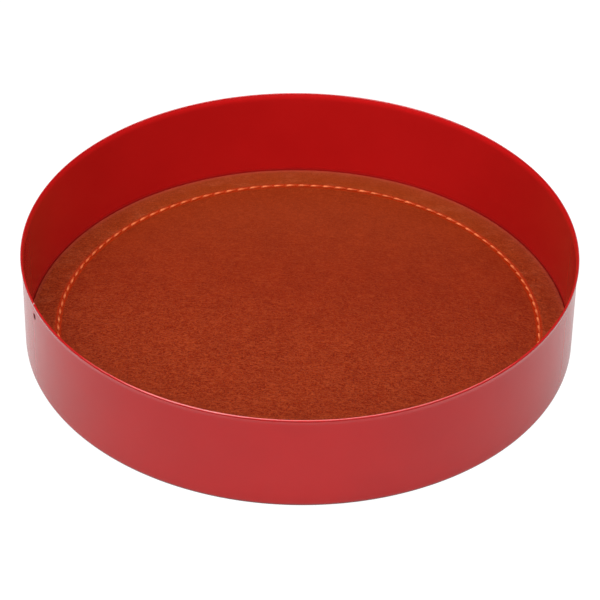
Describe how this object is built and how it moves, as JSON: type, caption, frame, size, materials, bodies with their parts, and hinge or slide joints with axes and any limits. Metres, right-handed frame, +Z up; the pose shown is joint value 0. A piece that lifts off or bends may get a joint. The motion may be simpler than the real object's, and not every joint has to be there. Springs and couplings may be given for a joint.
{
  "type": "coin tray",
  "caption": "Round lacquered metal coin tray with straight sides, a slightly flared lip and a stitched leather insert that lifts out.",
  "frame": {"origin": "centre of the face that the tray stands on", "axes": "+Z up along the tray's axis, out of its mouth"},
  "size_m": [0.17, 0.17, 0.0331],
  "materials": {
    "red_lacquer": "gloss red lacquer over steel",
    "tan_leather": "smooth vegetable-tanned leather, russet brown, satin",
    "backing_board": "pressed fibre board, matt brown",
    "orange_thread": "waxed orange thread",
    "grey_felt": "thin dark felt"
  },
  "bodies": {
    "dish": {"tray_shell": "red_lacquer", "base_felt": "grey_felt"},
    "insert": {"leather_top": "tan_leather", "pad_backing": "backing_board", "needle_thread": "orange_thread", "bobbin_thread": "orange_thread"}
  },
  "joints": [
    {"name": "insert_lift", "type": "slide", "parent": "dish", "child": "insert", "axis": [0, 0, 1], "range_m": [0, 0.045]}
  ]
}
